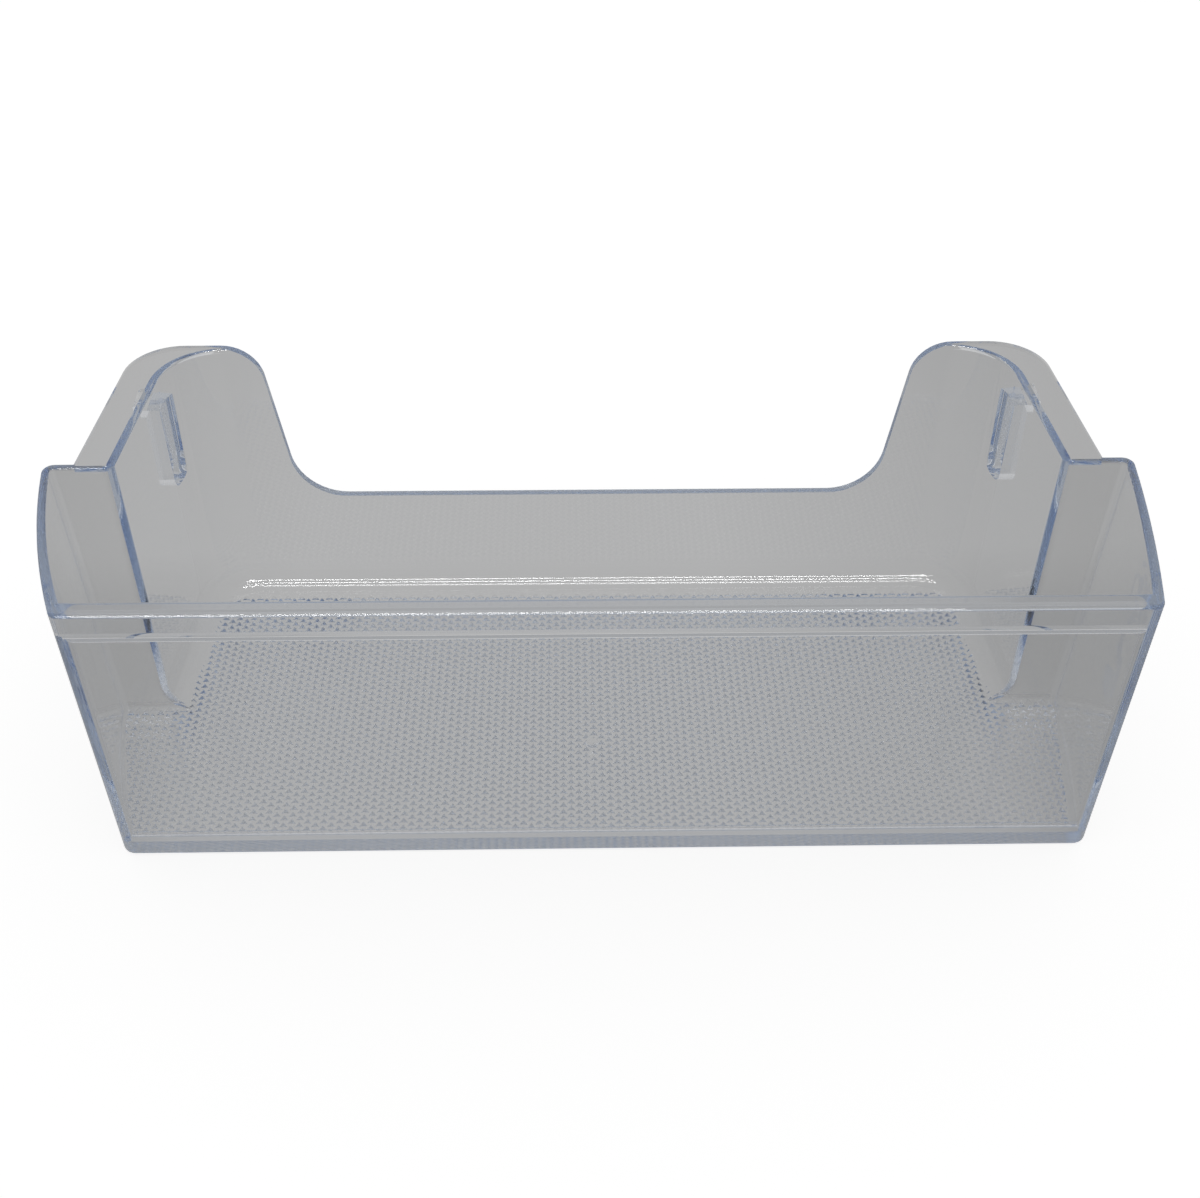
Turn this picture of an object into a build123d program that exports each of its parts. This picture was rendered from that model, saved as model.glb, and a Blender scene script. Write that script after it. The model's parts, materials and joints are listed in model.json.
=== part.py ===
"""Fridge door shelf: one clear moulded bin, in millimetres.

X runs along the width, the front wall faces -Y, the door side is +Y and Z is up.
The origin is under the middle of the overall box, on the level of the underside.
"""

import os
from math import radians, tan

from build123d import *

# Overall sizes
RIM_HEIGHT = 105.6
DEPTH = 143.6
WIDTH = 345.0

# Sheet
WALL = 2.8
FLOOR = 2.6

# Wide front section, outer faces
STEP_FROM_FRONT = 71.0
LEFT_SET_IN = 19.6
RIGHT_SET_IN = 10.4
LEFT_BOW = 2.6
RIGHT_BOW = 1.2
SIDE_TAPER_REAR = 5.2
SIDE_TAPER_FRONT = 2.0
FRONT_TAPER = 3.6
FRONT_CORNER = 4.2
STEP_CORNER = 3.6
UNDERSIDE_EDGE = 2.4
RIM_EDGE = 1.0
RIM_INNER_EDGE = 1.2
STEP_ROUND = 3.5
STEP_ROUND_LOW = 5.0

# Narrow back section, outer faces
INNER_WIDTH = 306.0
INNER_SET_IN = 6.1
INNER_TAPER = 1.7
BACK_TAPER = 1.5
BACK_CORNER = 22.8
BACK_FILLET = 10.0

# Thick rail along the top of the front wall
RAIL_DEPTH = 6.5
RAIL_HEIGHT = 11.2
RAIL_LEAN = 3.0
RAIL_EDGE = 1.8
FRONT_FILLET = 7.9
SIDE_FILLET = 1.6

# Outward flange round the top of each tall rear corner
FLANGE_WIDTH = 9.6
FLANGE_THICKNESS = 2.4
FLANGE_CORNER = 18.0

# Low middle of the back wall, between the tall corners
GAP_HEIGHT = 43.0
GAP_WIDTH = 211.8
GAP_LEAN = 8.85
GAP_LOW_RADIUS = 20.0
GAP_TOP_RADIUS = 14.0

# Hanging boss outside each side wall
BOSS_FROM_BACK = 11.5
BOSS_WIDTH = 11.3
BOSS_TOP = 94.0
BOSS_BOTTOM = 60.0
BOSS_REACH = 5.4
BOSS_ROUND = 5.0
CAP_REACH = 7.2
CAP_HEIGHT = 3.4

# How far a cutter runs past the face it cuts, and the back section into the front one
CUT_PAST = 4.0
OVERLAP = 26.0

# Planes that several features share
FRONT_Y = -DEPTH / 2
BACK_Y = DEPTH / 2
STEP_Y = FRONT_Y + STEP_FROM_FRONT
STEP_REAR_Y = STEP_Y + WALL
CORE_TOP = RIM_HEIGHT + CUT_PAST


def shrink(taper, z):
    """Return how far a drafted face stands in from its rim position at height z."""
    return taper * (1.0 - z / RIM_HEIGHT)


def skin(low, high):
    """Return the solid between two matching closed loops of edges."""
    faces = [Face(Wire(low)), Face(Wire(high))]
    for low_edge, high_edge in zip(low, high):
        if low_edge.geom_type == GeomType.LINE:
            corners = [low_edge @ 0, low_edge @ 1, high_edge @ 1, high_edge @ 0]
            faces.append(Face(Wire.make_polygon(corners)))
        else:
            faces.append(Face.make_surface_from_curves(low_edge, high_edge))
    return Solid(Shell(faces))


def upright_edges(solid, low_y, high_y):
    """Return the steep edges of a solid that lie between two depths."""
    steep = [edge for edge in solid.edges() if abs(edge.tangent_at(0.5).Z) > 0.9]
    return [edge for edge in steep if low_y < edge.center().Y < high_y]


def front_loop(z, inset, rear_y):
    """Return the plan of the wide front section at height z, inset from its outer faces."""
    rear_x = WIDTH / 2 - shrink(SIDE_TAPER_REAR, z) - inset
    left_x = -WIDTH / 2 + LEFT_SET_IN + shrink(SIDE_TAPER_FRONT, z) + inset
    right_x = WIDTH / 2 - RIGHT_SET_IN - shrink(SIDE_TAPER_FRONT, z) - inset
    front_y = FRONT_Y + shrink(FRONT_TAPER, z) + inset
    middle_y = (front_y + rear_y) / 2
    rear_left = (-rear_x, rear_y, z)
    rear_right = (rear_x, rear_y, z)
    front_left = (left_x, front_y, z)
    front_right = (right_x, front_y, z)
    left_middle = ((left_x - rear_x) / 2 - LEFT_BOW, middle_y, z)
    right_middle = ((right_x + rear_x) / 2 + RIGHT_BOW, middle_y, z)
    return [
        Edge.make_line(rear_left, rear_right),
        Edge.make_three_point_arc(rear_right, right_middle, front_right),
        Edge.make_line(front_right, front_left),
        Edge.make_three_point_arc(front_left, left_middle, rear_left),
    ]


def front_block(low_z, high_z, inset, rear_y):
    """Return the wide front section between two heights, with rounded upright corners."""
    block = skin(front_loop(low_z, inset, rear_y), front_loop(high_z, inset, rear_y))
    middle_y = (FRONT_Y + rear_y) / 2
    block = block.fillet(FRONT_CORNER - 0.6 * inset, upright_edges(block, FRONT_Y - 1, middle_y))
    return block.fillet(STEP_CORNER - 0.6 * inset, upright_edges(block, middle_y, rear_y + 1))


def back_half_width(y, z, inset):
    """Return half the width of the narrow back section at depth y and height z."""
    taper = INNER_SET_IN * (y - STEP_Y) / (BACK_Y - STEP_Y)
    return INNER_WIDTH / 2 - taper - shrink(INNER_TAPER, z) - inset


def step_width(z):
    """Return how far the sides step in at height z, from the front section to the back one."""
    return WIDTH / 2 - shrink(SIDE_TAPER_REAR, z) - back_half_width(STEP_Y, z, 0)


def back_loop(z, inset):
    """Return the plan of the narrow back section at height z, run forward past the step."""
    near_y = STEP_Y - OVERLAP
    back_y = BACK_Y - shrink(BACK_TAPER, z) - inset
    near_x = back_half_width(near_y, z, inset)
    far_x = back_half_width(back_y, z, inset)
    corners = [(-near_x, near_y, z), (near_x, near_y, z), (far_x, back_y, z), (-far_x, back_y, z)]
    return [Edge.make_line(corners[i - 1], corners[i]) for i in range(4)]


def back_block(low_z, high_z, inset):
    """Return the narrow back section between two heights, with rounded rear corners."""
    block = skin(back_loop(low_z, inset), back_loop(high_z, inset))
    return block.fillet(BACK_CORNER - inset, upright_edges(block, STEP_Y, BACK_Y + 1))


def round_floor_edges(solid, radius, keep_front):
    """Round a solid's lowest edges, or all of them but the one nearest the front."""
    edges = solid.edges().group_by(Axis.Z)[0].sort_by(Axis.Y)
    chosen = edges[1:] if keep_front else edges
    return solid.fillet(radius, chosen)


def outer_front():
    """Return the outer form of the wide front section as a solid block."""
    block = front_block(0, RIM_HEIGHT, 0, STEP_REAR_Y)
    block = block.fillet(RIM_EDGE, block.edges().group_by(Axis.Z)[-1])
    return round_floor_edges(block, UNDERSIDE_EDGE, keep_front=False)


def outer_back():
    """Return the outer form of the narrow back section as a solid block."""
    block = back_block(0, RIM_HEIGHT, 0)
    return round_floor_edges(block, BACK_FILLET + FLOOR - 0.4, keep_front=True)


def front_core():
    """Return the space inside the wide front section."""
    block = front_block(FLOOR, CORE_TOP, WALL, STEP_Y)
    return round_floor_edges(block, SIDE_FILLET, keep_front=False)


def back_core():
    """Return the space inside the narrow back section, with its deep floor fillets."""
    block = back_block(FLOOR, CORE_TOP, WALL)
    return round_floor_edges(block, BACK_FILLET, keep_front=True)


def inside():
    """Return the whole space inside the shelf, rounded where its sides step in."""
    space = front_core() + back_core()
    radius = min(STEP_ROUND, step_width(STEP_ROUND_LOW) / 3)
    if radius < RIM_INNER_EDGE:
        return space
    middle = (0, 0, STEP_ROUND_LOW + RIM_HEIGHT)
    upper = space & (Pos(*middle) * Box(2 * WIDTH, 2 * DEPTH, 2 * RIM_HEIGHT))
    upright = upright_edges(upper, STEP_Y - radius, STEP_Y + radius)
    side_x = back_half_width(STEP_Y, RIM_HEIGHT, 0)
    return space + upper.fillet(radius, [edge for edge in upright if abs(edge.center().X) < side_x])


def round_rim(body, space):
    """Round the top edges of a body that lie on the surface of the space inside it."""
    middles = [(edge, edge @ 0.5) for edge in body.edges()]
    top = [(edge, point) for edge, point in middles if abs(point.Z - RIM_HEIGHT) < 0.001]
    inner = [edge for edge, point in top if space.distance_to(Vertex(*point)) < 0.001]
    return body.fillet(RIM_INNER_EDGE, inner)


def flange(side):
    """Return the flat flange round the top of one tall rear corner."""
    near_x = back_half_width(STEP_Y, RIM_HEIGHT, 0) + FLANGE_WIDTH
    far_x = back_half_width(BACK_Y, RIM_HEIGHT, 0) + FLANGE_WIDTH
    inner_x = far_x - 2 * BACK_CORNER
    with BuildSketch(Plane.XY.offset(RIM_HEIGHT)) as plan:
        with BuildLine():
            Polyline(
                (side * inner_x, STEP_Y),
                (side * near_x, STEP_Y),
                (side * far_x, BACK_Y),
                (side * inner_x, BACK_Y),
                close=True,
            )
        make_face()
        fillet(plan.vertices().sort_by_distance((side * far_x, BACK_Y, 0))[0], FLANGE_CORNER)
    return extrude(plan.sketch, FLANGE_THICKNESS, dir=(0, 0, -1))


def boss(side):
    """Return the hanging boss of one side, with its wider cap at the top."""
    middle_y = BACK_Y - BOSS_FROM_BACK - BOSS_WIDTH / 2
    face_x = back_half_width(middle_y, BOSS_TOP, 0)
    root_x = face_x - WALL
    height = BOSS_TOP - BOSS_BOTTOM
    with BuildSketch(Plane.YZ.offset(side * root_x)) as outline:
        with Locations((middle_y, BOSS_BOTTOM + height / 2)):
            Rectangle(BOSS_WIDTH, height)
        fillet(outline.vertices().group_by(Axis.Y)[0], BOSS_ROUND)
    stem = extrude(outline.sketch, WALL + BOSS_REACH, dir=(side, 0, 0))
    cap_length = WALL + CAP_REACH
    cap_middle = (side * (root_x + cap_length / 2), middle_y, BOSS_TOP - CAP_HEIGHT / 2)
    return stem + Pos(*cap_middle) * Box(cap_length, BOSS_WIDTH, CAP_HEIGHT)


def rail():
    """Return the thick rail behind the top of the front wall, longer than the shelf."""
    root_y = FRONT_Y + WALL / 2
    back_y = FRONT_Y + RAIL_DEPTH
    low_z = RIM_HEIGHT - RAIL_HEIGHT
    low_y = back_y + RAIL_HEIGHT * tan(radians(RAIL_LEAN))
    with BuildSketch(Plane.YZ) as section:
        with BuildLine():
            Polyline((root_y, RIM_HEIGHT), (root_y, low_z), (low_y, low_z), (back_y, RIM_HEIGHT), close=True)
        make_face()
        fillet(section.vertices().sort_by_distance((low_y, low_z, 0))[0], RAIL_EDGE)
        fillet(section.vertices().sort_by_distance((back_y, RIM_HEIGHT, 0))[0], RIM_EDGE)
    return extrude(section.sketch, WIDTH / 2, both=True)


def front_cove():
    """Return the hollow-cheeked strip that rounds the corner of floor and front wall."""
    wall_y = FRONT_Y + shrink(FRONT_TAPER, FLOOR) + WALL
    root_y = wall_y - WALL / 2
    root_z = FLOOR / 2
    with BuildSketch(Plane.YZ) as section:
        with BuildLine():
            Polyline(
                (root_y, root_z),
                (wall_y + FRONT_FILLET, root_z),
                (wall_y + FRONT_FILLET, FLOOR),
                (wall_y, FLOOR + FRONT_FILLET),
                (root_y, FLOOR + FRONT_FILLET),
                close=True,
            )
        make_face()
        with Locations((wall_y + FRONT_FILLET, FLOOR + FRONT_FILLET)):
            Circle(FRONT_FILLET, mode=Mode.SUBTRACT)
    return extrude(section.sketch, WIDTH / 2, both=True)


def back_gap():
    """Return the cutter for the low middle of the back wall."""
    half_low = GAP_WIDTH / 2
    half_top = half_low + (RIM_HEIGHT - GAP_HEIGHT) * tan(radians(GAP_LEAN))
    half_out = half_top + 2 * GAP_TOP_RADIUS
    with BuildSketch(Plane.XZ.offset(-BACK_Y - CUT_PAST)) as profile:
        with BuildLine():
            Polyline(
                (-half_low, GAP_HEIGHT),
                (half_low, GAP_HEIGHT),
                (half_top, RIM_HEIGHT),
                (half_out, RIM_HEIGHT),
                (half_out, CORE_TOP),
                (-half_out, CORE_TOP),
                (-half_out, RIM_HEIGHT),
                (-half_top, RIM_HEIGHT),
                close=True,
            )
        make_face()
        fillet(profile.vertices().group_by(Axis.Y)[0], GAP_LOW_RADIUS)
        for side in (-1, 1):
            fillet(profile.vertices().sort_by_distance((side * half_top, RIM_HEIGHT, 0))[0], GAP_TOP_RADIUS)
    return extrude(profile.sketch, CUT_PAST + BACK_CORNER)


def door_shelf():
    """Return the whole shelf as one solid."""
    front = outer_front()
    body = front + outer_back()
    for side in (-1, 1):
        body = body + flange(side) + boss(side)
    space = inside()
    body = round_rim(body - space, space)
    body = body + (rail() & front) + (front_cove() & front)
    return body - back_gap()


if __name__ == "__main__":
    os.makedirs("parts", exist_ok=True)
    export_step(door_shelf(), "parts/door_shelf.step")
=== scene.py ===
"""Looks of the fridge door shelf: one clear moulding with a textured floor, on a pale studio floor."""

import json
import logging
import math
from dataclasses import dataclass, field
from enum import Enum
from typing import Callable, Union

import bpy
from mathutils import Matrix, Vector

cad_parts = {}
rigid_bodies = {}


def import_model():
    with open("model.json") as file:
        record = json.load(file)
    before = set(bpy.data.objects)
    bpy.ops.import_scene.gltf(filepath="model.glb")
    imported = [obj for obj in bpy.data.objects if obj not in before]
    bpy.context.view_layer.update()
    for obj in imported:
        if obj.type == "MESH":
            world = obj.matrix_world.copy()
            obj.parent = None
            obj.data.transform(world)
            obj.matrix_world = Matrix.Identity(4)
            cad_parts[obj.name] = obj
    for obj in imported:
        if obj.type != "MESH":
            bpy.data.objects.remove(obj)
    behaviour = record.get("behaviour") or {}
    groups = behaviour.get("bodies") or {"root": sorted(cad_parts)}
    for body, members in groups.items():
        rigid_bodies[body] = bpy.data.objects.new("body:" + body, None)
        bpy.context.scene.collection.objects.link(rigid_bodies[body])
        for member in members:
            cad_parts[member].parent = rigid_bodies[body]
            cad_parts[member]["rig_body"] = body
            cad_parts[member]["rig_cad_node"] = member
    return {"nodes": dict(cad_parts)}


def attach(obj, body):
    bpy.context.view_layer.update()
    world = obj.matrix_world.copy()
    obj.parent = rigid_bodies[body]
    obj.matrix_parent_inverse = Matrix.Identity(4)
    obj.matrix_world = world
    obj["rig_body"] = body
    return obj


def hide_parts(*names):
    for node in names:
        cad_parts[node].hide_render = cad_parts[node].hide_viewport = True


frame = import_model()

LOG = logging.getLogger("door_shelf")
MM = 0.001
CAD_NODE = "door_shelf"
BODY = "root"
LIGHT_BOUNCES = 88
INDIRECT_CLAMP = 2.0
WHITE = (1.0, 1.0, 1.0, 1.0)
UNIT_SPAN = (0.0, 1.0)

Level = Union[bpy.types.NodeSocket, float]


class Cut(Enum):
    """How a boolean modifier joins a tool to a piece."""

    ADD = "UNION"
    REMOVE = "DIFFERENCE"
    KEEP = "INTERSECT"


def select_only(piece: bpy.types.Object) -> None:
    """Make one object the only selected and active one.

    Args:
        piece: The object to select.
    """
    bpy.ops.object.select_all(action="DESELECT")
    piece.select_set(True)
    bpy.context.view_layer.objects.active = piece


def apply_modifier(piece: bpy.types.Object, kind: str, **settings: object) -> None:
    """Add a modifier with the given settings and apply it at once.

    Args:
        piece: The object that takes the modifier.
        kind: Blender's name for the modifier type.
        settings: Values for the modifier's own properties.
    """
    select_only(piece)
    modifier = piece.modifiers.new(kind.lower(), kind)
    for name, value in settings.items():
        setattr(modifier, name, value)
    bpy.ops.object.modifier_apply(modifier=modifier.name)


def repeat(piece: bpy.types.Object, count: int, step: tuple[float, float, float]) -> None:
    """Copy a piece along a line, in its own mesh.

    Args:
        piece: The object that is repeated.
        count: How many there are in the end.
        step: The way from one to the next.
    """
    apply_modifier(
        piece,
        "ARRAY",
        count=count,
        use_relative_offset=False,
        use_constant_offset=True,
        constant_offset_displace=step,
    )


def combine(piece: bpy.types.Object, tool: bpy.types.Object, cut: Cut) -> None:
    """Join a closed tool to a closed piece by a boolean, and delete the tool.

    Args:
        piece: The object that is changed.
        tool: The closed mesh that is added, removed or kept.
        cut: Which boolean to use.
    """
    apply_modifier(piece, "BOOLEAN", object=tool, operation=cut.value, solver="MANIFOLD")
    bpy.data.objects.remove(tool)


def feed(tree: bpy.types.NodeTree, socket: bpy.types.NodeSocket, value: Level) -> None:
    """Link an output to an input, or set the input's own number.

    Args:
        tree: The node tree of both.
        socket: The input.
        value: The output or the number that it takes.
    """
    if isinstance(value, bpy.types.NodeSocket):
        tree.links.new(value, socket)
    else:
        socket.default_value = value


def add_math(tree: bpy.types.NodeTree, operation: str, *values: Level) -> bpy.types.NodeSocket:
    """Add a math node.

    Args:
        tree: The node tree that takes it.
        operation: Blender's name for the operation.
        values: The outputs or numbers that it works on, in order.

    Returns:
        The node's result.
    """
    node = tree.nodes.new("ShaderNodeMath")
    node.operation = operation
    for socket, value in zip(node.inputs, values):
        feed(tree, socket, value)
    return node.outputs["Value"]


def add_ramp(
    tree: bpy.types.NodeTree,
    value: bpy.types.NodeSocket,
    span: tuple[float, float],
    low: Level,
    high: Level,
) -> bpy.types.NodeSocket:
    """Add a node that goes from one level to another while its value crosses a span.

    Args:
        tree: The node tree that takes it.
        value: The output that is followed.
        span: Where the change begins and ends.
        low: The level before the span.
        high: The level after the span.

    Returns:
        The node's result.
    """
    node = tree.nodes.new("ShaderNodeMapRange")
    names = ("Value", "From Min", "From Max", "To Min", "To Max")
    for name, given in zip(names, (value, *span, low, high)):
        feed(tree, node.inputs[name], given)
    return node.outputs["Result"]


def add_axes(tree: bpy.types.NodeTree, kind: str) -> bpy.types.Node:
    """Add nodes that read the place of each shaded point.

    Args:
        tree: The node tree that takes them.
        kind: Which texture coordinate to read.

    Returns:
        The node with the outputs X, Y and Z.
    """
    place = tree.nodes.new("ShaderNodeTexCoord")
    axes = tree.nodes.new("ShaderNodeSeparateXYZ")
    tree.links.new(place.outputs[kind], axes.inputs["Vector"])
    return axes


@dataclass(frozen=True)
class DullZone:
    """A slice across one axis of the bin in which its skin is duller."""

    axis: str
    middle: float
    reach: float
    dullness: float


@dataclass(frozen=True)
class ClearPlastic:
    """Clear polystyrene: a glossy refracting skin over a body that drinks red light over long paths."""

    name: str = "clear_plastic"
    ior: float = 1.59
    roughness: float = 0.0
    tint: tuple[float, float, float] = (0.1, 0.39, 0.81)
    density: float = 4.2
    studs: DullZone = DullZone("Z", 3.45 * MM, 0.8 * MM, 0.13)
    underside: DullZone = DullZone("Z", 0.0, 0.05 * MM, 0.12)
    step_rear: DullZone = DullZone("Y", 2.0 * MM, 0.05 * MM, 0.25)

    def material(self) -> bpy.types.Material:
        """Make the plastic: clear all over, and duller in its zones.

        Returns:
            The material.
        """
        material = bpy.data.materials.new(self.name)
        material.use_nodes = True
        tree = material.node_tree
        skin = tree.nodes["Principled BSDF"]
        skin.inputs["Base Color"].default_value = WHITE
        skin.inputs["Transmission Weight"].default_value = 1.0
        skin.inputs["IOR"].default_value = self.ior
        axes = add_axes(tree, "Object")
        roughness: Level = self.roughness
        for zone in (self.studs, self.underside, self.step_rear):
            within = add_math(tree, "COMPARE", axes.outputs[zone.axis], zone.middle, zone.reach)
            roughness = add_math(tree, "MULTIPLY_ADD", within, zone.dullness, roughness)
        feed(tree, skin.inputs["Roughness"], roughness)
        inside = tree.nodes.new("ShaderNodeVolumeAbsorption")
        inside.inputs["Color"].default_value = (*self.tint, 1.0)
        inside.inputs["Density"].default_value = self.density
        tree.links.new(inside.outputs["Volume"], tree.nodes["Material Output"].inputs["Volume"])
        return material


@dataclass(frozen=True)
class PaleFloor:
    """White studio floor: matt, so that it keeps the shadow, and lifted to white for the camera.

    The plastic shows the floor as well, at the grey that the photograph has behind the walls.
    """

    name: str = "pale_floor"
    albedo: float = 0.8
    seen_white: float = 0.88
    seen_in_plastic: float = 0.455
    painted_dim_at_sides: float = 0.375
    # Painted falloff of light in the grey that the plastic shows: brightest near the middle, dimmer
    # towards the sides.
    painted_light_middle_x: float = -0.03
    painted_falloff_span: tuple[float, float] = (0.08, 0.24)
    # Painted shade under the bin: darker towards its ends, fading out behind its back.
    painted_shade_under_bin: float = 0.91
    painted_shade_under_ends: float = 0.8
    painted_shade_ends_span: tuple[float, float] = (0.135, 0.16)
    painted_shade_back_span: tuple[float, float] = (0.04, 0.09)

    def material(self) -> bpy.types.Material:
        """Make the floor: matt and white to the camera, grey in the plastic.

        Returns:
            The material.
        """
        material = bpy.data.materials.new(self.name)
        material.use_nodes = True
        tree = material.node_tree
        skin = tree.nodes["Principled BSDF"]
        skin.inputs["Base Color"].default_value = (self.albedo, self.albedo, self.albedo, 1.0)
        skin.inputs["Roughness"].default_value = 1.0
        skin.inputs["Specular IOR Level"].default_value = 0.0
        skin.inputs["Emission Color"].default_value = WHITE
        path = tree.nodes.new("ShaderNodeLightPath")
        white = add_math(tree, "MULTIPLY", path.outputs["Is Camera Ray"], self.seen_white)
        feed(tree, skin.inputs["Emission Strength"], white)
        grey = tree.nodes.new("ShaderNodeEmission")
        feed(tree, grey.inputs["Strength"], self.grey_with_painted_light(tree))
        glossy = path.outputs["Is Glossy Ray"]
        through = add_math(tree, "MAXIMUM", glossy, path.outputs["Is Transmission Ray"])
        either = tree.nodes.new("ShaderNodeMixShader")
        for socket, value in zip(either.inputs, (through, skin.outputs["BSDF"], grey.outputs["Emission"])):
            tree.links.new(value, socket)
        tree.links.new(either.outputs["Shader"], tree.nodes["Material Output"].inputs["Surface"])
        return material

    def grey_with_painted_light(self, tree: bpy.types.NodeTree) -> bpy.types.NodeSocket:
        """Add the floor's grey as the plastic shows it, with a painted falloff of light to the sides and
        painted shade under the bin, deepest under its ends.

        Args:
            tree: The floor's node tree.

        Returns:
            The strength of the grey.
        """
        axes = add_axes(tree, "Object")
        # Painted falloff of light: the grey is brightest near the middle and dimmer towards the sides.
        aside = add_math(tree, "ABSOLUTE", add_math(tree, "SUBTRACT", axes.outputs["X"], self.painted_light_middle_x))
        grey = add_ramp(tree, aside, self.painted_falloff_span, self.seen_in_plastic, self.painted_dim_at_sides)
        # Painted shade under the bin, deeper under its ends and gone behind its back.
        across = add_math(tree, "ABSOLUTE", axes.outputs["X"])
        under = add_ramp(tree, across, self.painted_shade_ends_span, self.painted_shade_under_bin, self.painted_shade_under_ends)
        shade = add_ramp(tree, axes.outputs["Y"], self.painted_shade_back_span, under, 1.0)
        return add_math(tree, "MULTIPLY", grey, shade)


@dataclass
class FloorTexture:
    """Small three-armed studs in a staggered pattern over the floor of the bin."""

    arms: int = 3
    pitch: float = 3.03 * MM
    radius: float = 2.0 * MM
    waist: float = 0.8 * MM
    height: float = 1.5 * MM
    sunk: float = 0.25 * MM
    floor_top: float = 2.6 * MM
    front: float = -62.5 * MM
    back: float = 57.1 * MM
    step: float = -0.8 * MM
    half_width_step: float = 143.5 * MM
    half_width_back: float = 136.0 * MM
    left_front: float = -150.5 * MM
    right_front: float = 156.0 * MM
    left_step: float = -164.5 * MM
    right_step: float = 165.0 * MM
    gate_middle: tuple[float, float] = (0.2 * MM, -20.0 * MM)
    gate_radius: float = 2.3 * MM
    gate_height: float = 1.1 * MM
    gate_root: float = 1.2 * MM
    gate_edge: float = 0.5 * MM
    gate_edge_steps: int = 3
    gate_sides: int = 24

    def build(self) -> bpy.types.Object:
        """Make all studs as one object, cut to the textured zone, with the mark of the gate among them.

        Returns:
            The studs, whose roots reach into the floor.
        """
        column_step = self.pitch * math.sqrt(3.0) / 2.0
        studs = self.grid(column_step, 0.0, 0.0)
        between = self.grid(column_step, column_step, self.pitch / 2.0)
        select_only(studs)
        between.select_set(True)
        bpy.ops.object.join()
        combine(studs, self.zone(), Cut.KEEP)
        combine(studs, self.gate(), Cut.ADD)
        return studs

    def grid(self, column_step: float, shift_x: float, shift_y: float) -> bpy.types.Object:
        """Make every other column of studs.

        Args:
            column_step: The way from a column to the next.
            shift_x: How far the first column stands to the right.
            shift_y: How far the first row stands to the rear.

        Returns:
            The studs of these columns.
        """
        columns = math.ceil((self.right_step - self.left_step) / (2.0 * column_step)) + 1
        rows = math.ceil((self.back - self.front) / self.pitch) + 1
        depth = self.height + self.sunk
        middle_z = self.floor_top + self.height - depth / 2.0
        bpy.ops.object.select_all(action="DESELECT")
        bpy.ops.mesh.primitive_cone_add(
            vertices=2 * self.arms,
            radius1=self.radius,
            radius2=0.0,
            depth=depth,
            location=(self.left_step + shift_x, self.front + shift_y, middle_z),
        )
        stud = bpy.context.object
        # Every other corner of the foot is drawn in, which leaves the arms.
        for point in stud.data.vertices:
            if point.index % 2 == 1 and point.co.z < 0.0:
                point.co.xy *= self.waist / self.radius
        bpy.ops.object.transform_apply(location=True, rotation=True, scale=True)
        repeat(stud, columns, (2.0 * column_step, 0.0, 0.0))
        repeat(stud, rows, (0.0, self.pitch, 0.0))
        return stud

    def gate(self) -> bpy.types.Object:
        """Make the low round-edged disc that the moulding gate leaves in the middle of the floor.

        Returns:
            The disc, whose root reaches into the floor.
        """
        middle_z = self.floor_top + (self.gate_height - self.gate_root) / 2.0
        bpy.ops.object.select_all(action="DESELECT")
        bpy.ops.mesh.primitive_cylinder_add(
            vertices=self.gate_sides,
            radius=self.gate_radius,
            depth=self.gate_height + self.gate_root,
            location=(*self.gate_middle, middle_z),
        )
        disc = bpy.context.object
        bpy.ops.object.transform_apply(location=True, rotation=True, scale=True)
        apply_modifier(disc, "BEVEL", width=self.gate_edge, segments=self.gate_edge_steps)
        return disc

    def zone(self) -> bpy.types.Object:
        """Make the space over the textured part of the floor, a wide front and a tapered rear.

        Returns:
            The space as a closed block.
        """
        low = self.floor_top - 2.0 * self.sunk
        high = self.floor_top + 2.0 * self.height
        overlap = self.pitch
        corners = (
            (self.front, self.step, self.left_front, self.right_front, self.left_step, self.right_step),
            (
                self.step - overlap,
                self.back,
                -self.half_width_step,
                self.half_width_step,
                -self.half_width_back,
                self.half_width_back,
            ),
        )
        blocks = []
        for near, far, left_near, right_near, left_far, right_far in corners:
            bpy.ops.object.select_all(action="DESELECT")
            bpy.ops.mesh.primitive_cube_add(size=2.0)
            block = bpy.context.object
            for point in block.data.vertices:
                at_far = point.co.y > 0.0
                left, right = (left_far, right_far) if at_far else (left_near, right_near)
                point.co = (
                    left if point.co.x < 0.0 else right,
                    far if at_far else near,
                    low if point.co.z < 0.0 else high,
                )
            blocks.append(block)
        combine(blocks[0], blocks[1], Cut.ADD)
        return blocks[0]


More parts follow.
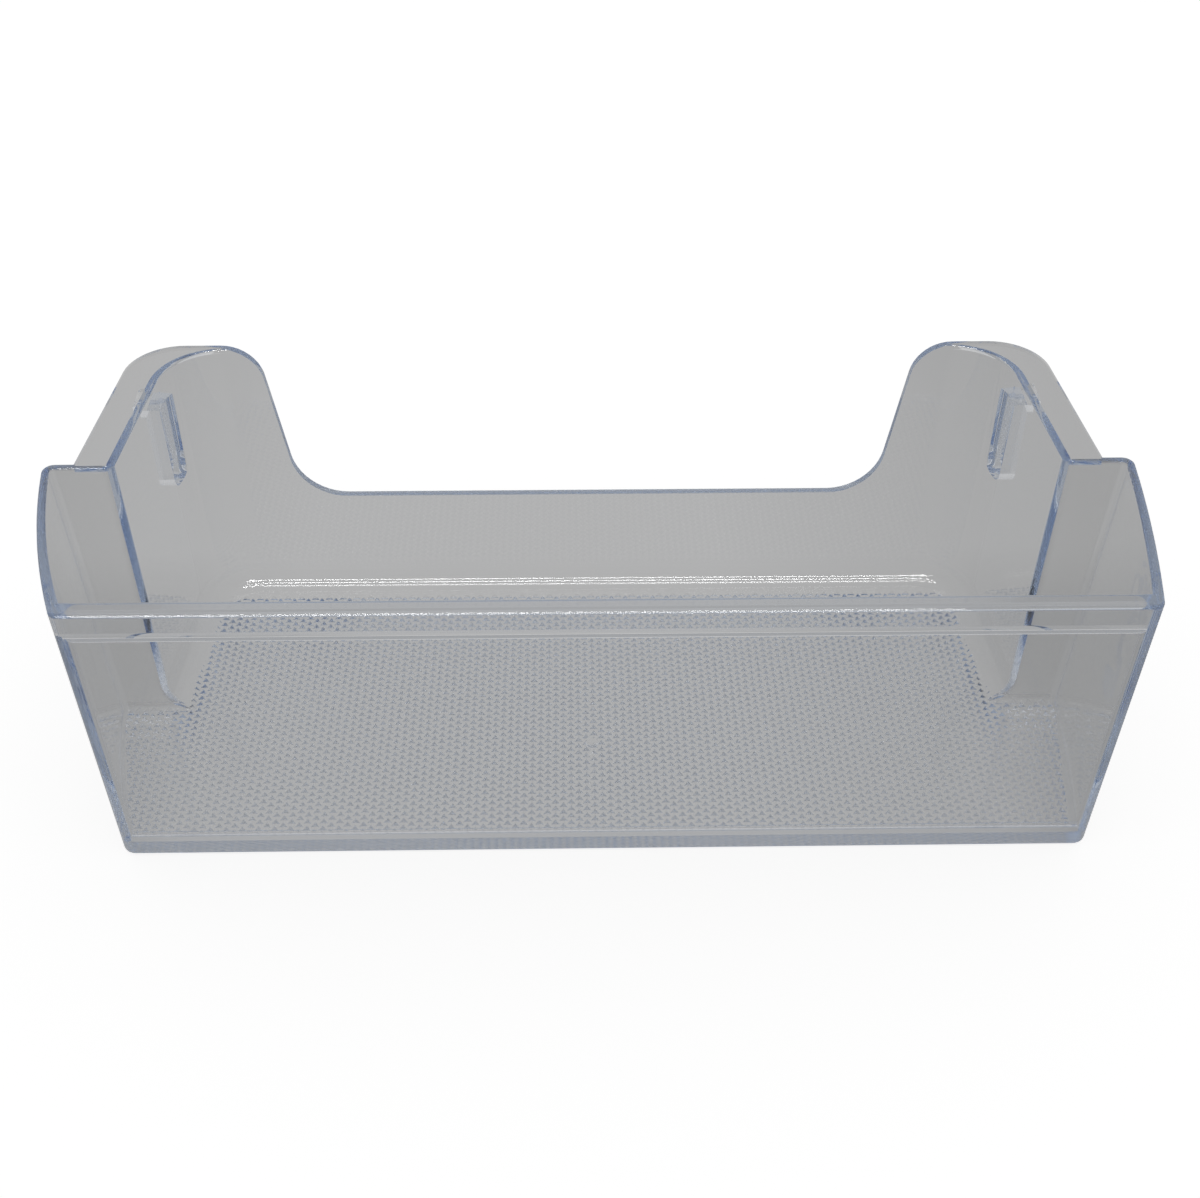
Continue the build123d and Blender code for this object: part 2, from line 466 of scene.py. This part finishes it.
@dataclass
class DoorShelf:
    """The clear bin: the moulding with smooth rounds and its textured floor."""

    plastic: ClearPlastic = field(default_factory=ClearPlastic)
    texture: FloorTexture = field(default_factory=FloorTexture)
    merge: float = 0.002 * MM
    crease: float = math.radians(28.0)
    front: float = -71.76 * MM
    top: float = 105.6 * MM
    front_round: float = 2.5 * MM
    front_turn: float = math.radians(45.0)
    cutter_length: float = 0.4
    cutter_sides: int = 96

    def build(self) -> bpy.types.Object:
        """Make the bin, dress it and set it on the part's body.

        Returns:
            The finished bin.
        """
        bin_piece = self.moulding()
        combine(bin_piece, self.front_cutter(), Cut.REMOVE)
        combine(bin_piece, self.texture.build(), Cut.ADD)
        self.smooth(bin_piece)
        bin_piece.data.materials.clear()
        bin_piece.data.materials.append(self.plastic.material())
        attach(bin_piece, BODY)
        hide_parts(CAD_NODE)
        return bin_piece

    def moulding(self) -> bpy.types.Object:
        """Copy the construction solid and merge its doubled points.

        Returns:
            The copy, free of the solid's own body.
        """
        select_only(frame["nodes"][CAD_NODE])
        bpy.ops.object.duplicate()
        copy = bpy.context.object
        copy.name = "clear_bin"
        copy.parent = None
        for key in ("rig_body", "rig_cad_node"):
            del copy[key]
        bpy.ops.object.mode_set(mode="EDIT")
        bpy.ops.mesh.select_all(action="SELECT")
        bpy.ops.mesh.remove_doubles(threshold=self.merge)
        bpy.ops.object.mode_set(mode="OBJECT")
        return copy

    def front_cutter(self) -> bpy.types.Object:
        """Make the strip that is taken off the front wall's top edge to round it.

        Returns:
            A bar with a hollow side, longer than the bin.
        """
        middle_y = self.front + self.front_round * math.cos(self.front_turn)
        middle_z = self.top - self.front_round
        bpy.ops.object.select_all(action="DESELECT")
        bpy.ops.mesh.primitive_cube_add(size=1.0)
        strip = bpy.context.object
        for point in strip.data.vertices:
            point.co = (
                point.co.x * self.cutter_length,
                middle_y if point.co.y > 0.0 else self.front - self.front_round,
                middle_z if point.co.z < 0.0 else self.top + self.front_round,
            )
        bpy.ops.object.select_all(action="DESELECT")
        bpy.ops.mesh.primitive_cylinder_add(
            vertices=self.cutter_sides,
            radius=self.front_round,
            depth=2.0 * self.cutter_length,
            location=(0.0, middle_y, middle_z),
            rotation=(0.0, math.pi / 2.0, 0.0),
        )
        core = bpy.context.object
        bpy.ops.object.transform_apply(location=True, rotation=True, scale=True)
        combine(strip, core, Cut.REMOVE)
        return strip

    def smooth(self, piece: bpy.types.Object) -> None:
        """Shade rounds smoothly and keep flats flat.

        Each face corner takes the mean, by area, of the faces at its point that turn less than the crease.

        Args:
            piece: The bin.
        """
        mesh = piece.data
        touching: list[list[int]] = [[] for _ in mesh.vertices]
        for face in mesh.polygons:
            face.use_smooth = True
            for point in face.vertices:
                touching[point].append(face.index)
        limit = math.cos(self.crease)
        normals = []
        for face in mesh.polygons:
            for point in face.vertices:
                near = [mesh.polygons[i] for i in touching[point]]
                near = [other for other in near if other.normal.dot(face.normal) > limit]
                mean = sum((other.normal * other.area for other in near), Vector())
                normals.append((mean if mean.length > 0.0 else face.normal).normalized())
        mesh.normals_split_custom_set(normals)


@dataclass
class PhotoCamera:
    """The camera at the photograph's viewpoint."""

    name: str = "photo_camera"
    position: Vector = field(default_factory=lambda: Vector((-5.66, -418.35, 404.65)) * MM)
    pitch: float = math.radians(40.315)
    yaw: float = math.radians(1.209)
    roll: float = math.radians(0.305)
    lens: float = 48.80
    sensor: float = 36.0
    nearest: float = 0.01

    def build(self) -> bpy.types.Object:
        """Make the camera and set it as the scene's own.

        Returns:
            The camera.
        """
        forward = Vector(
            (
                math.sin(self.yaw) * math.cos(self.pitch),
                math.cos(self.yaw) * math.cos(self.pitch),
                -math.sin(self.pitch),
            )
        )
        level = Vector((math.cos(self.yaw), -math.sin(self.yaw), 0.0))
        upright = level.cross(forward)
        right = math.cos(self.roll) * level + math.sin(self.roll) * upright
        up = math.cos(self.roll) * upright - math.sin(self.roll) * level
        data = bpy.data.cameras.new(self.name)
        data.lens = self.lens
        data.sensor_width = self.sensor
        data.sensor_fit = "HORIZONTAL"
        data.clip_start = self.nearest
        camera = bpy.data.objects.new(self.name, data)
        bpy.context.scene.collection.objects.link(camera)
        turn = Matrix((right, up, -forward)).transposed()
        camera.matrix_world = Matrix.Translation(self.position) @ turn.to_4x4()
        bpy.context.scene.camera = camera
        return camera


@dataclass
class Studio:
    """Pale floor, soft light and a plain world."""

    floor: PaleFloor = field(default_factory=PaleFloor)
    floor_size: float = 8.0
    floor_gap: float = 0.3 * MM
    world_level: float = 0.6
    world_front: float = 0.36
    world_span: tuple[float, float] = (-0.5, 0.7)
    world_on_floor: float = 0.17
    tubes: tuple[tuple[float, float, float], ...] = (
        (-0.1, -0.9, 1.25),
        (-0.1, -0.62, 1.41),
        (-0.1, -0.3, 1.52),
    )
    tube_size: tuple[float, float] = (1.1, 0.1)
    tube_power: float = 4.5

    def build(self) -> None:
        """Make the floor, the world and the lamps."""
        bpy.ops.object.select_all(action="DESELECT")
        bpy.ops.mesh.primitive_plane_add(size=self.floor_size, location=(0.0, 0.0, -self.floor_gap))
        ground = bpy.context.object
        ground.name = "studio_floor"
        ground.data.materials.append(self.floor.material())
        self.world()
        self.lamps()

    def world(self) -> None:
        """Set a plain world: white to the camera, brighter in the plastic than on the floor."""
        world = bpy.data.worlds.new("studio_world")
        world.use_nodes = True
        tree = world.node_tree
        background = tree.nodes["Background"]
        background.inputs["Color"].default_value = WHITE
        axes = add_axes(tree, "Generated")
        shown = add_ramp(tree, axes.outputs["Y"], self.world_span, self.world_front, self.world_level)
        path = tree.nodes.new("ShaderNodeLightPath")
        level = add_ramp(tree, path.outputs["Is Diffuse Ray"], UNIT_SPAN, shown, self.world_on_floor)
        seen = add_math(tree, "MAXIMUM", level, path.outputs["Is Camera Ray"])
        feed(tree, background.inputs["Strength"], seen)
        # A world this even needs no light rays aimed at it, which saves time.
        world.cycles.sampling_method = "NONE"
        bpy.context.scene.world = world

    def lamps(self) -> None:
        """Hang long tubes over the bin, for the highlights on its rounds."""
        for index, place in enumerate(self.tubes):
            data = bpy.data.lights.new(f"tube_{index}", "AREA")
            data.shape = "RECTANGLE"
            data.size, data.size_y = self.tube_size
            data.energy = self.tube_power
            lamp = bpy.data.objects.new(f"tube_{index}", data)
            bpy.context.scene.collection.objects.link(lamp)
            lamp.location = place
            lamp.visible_diffuse = False
            lamp.visible_transmission = False


def report(step: str, make: Callable[[], object]) -> None:
    """Run one step of the build and log it.

    Args:
        step: The step's name for the log.
        make: The step itself.
    """
    make()
    LOG.info("built %s", step)


def main() -> None:
    """Build the bin, the camera and the studio."""
    logging.basicConfig(level=logging.INFO)
    scene = bpy.context.scene
    scene.view_settings.view_transform = "Standard"
    scene.cycles.caustics_refractive = False
    scene.cycles.caustics_reflective = False
    scene.cycles.max_bounces = LIGHT_BOUNCES
    scene.cycles.glossy_bounces = LIGHT_BOUNCES
    scene.cycles.transmission_bounces = LIGHT_BOUNCES
    scene.cycles.sample_clamp_indirect = INDIRECT_CLAMP
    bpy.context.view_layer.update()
    report("clear_bin", DoorShelf().build)
    report("camera", PhotoCamera().build)
    report("studio", Studio().build)


if __name__ == "__main__":
    main()
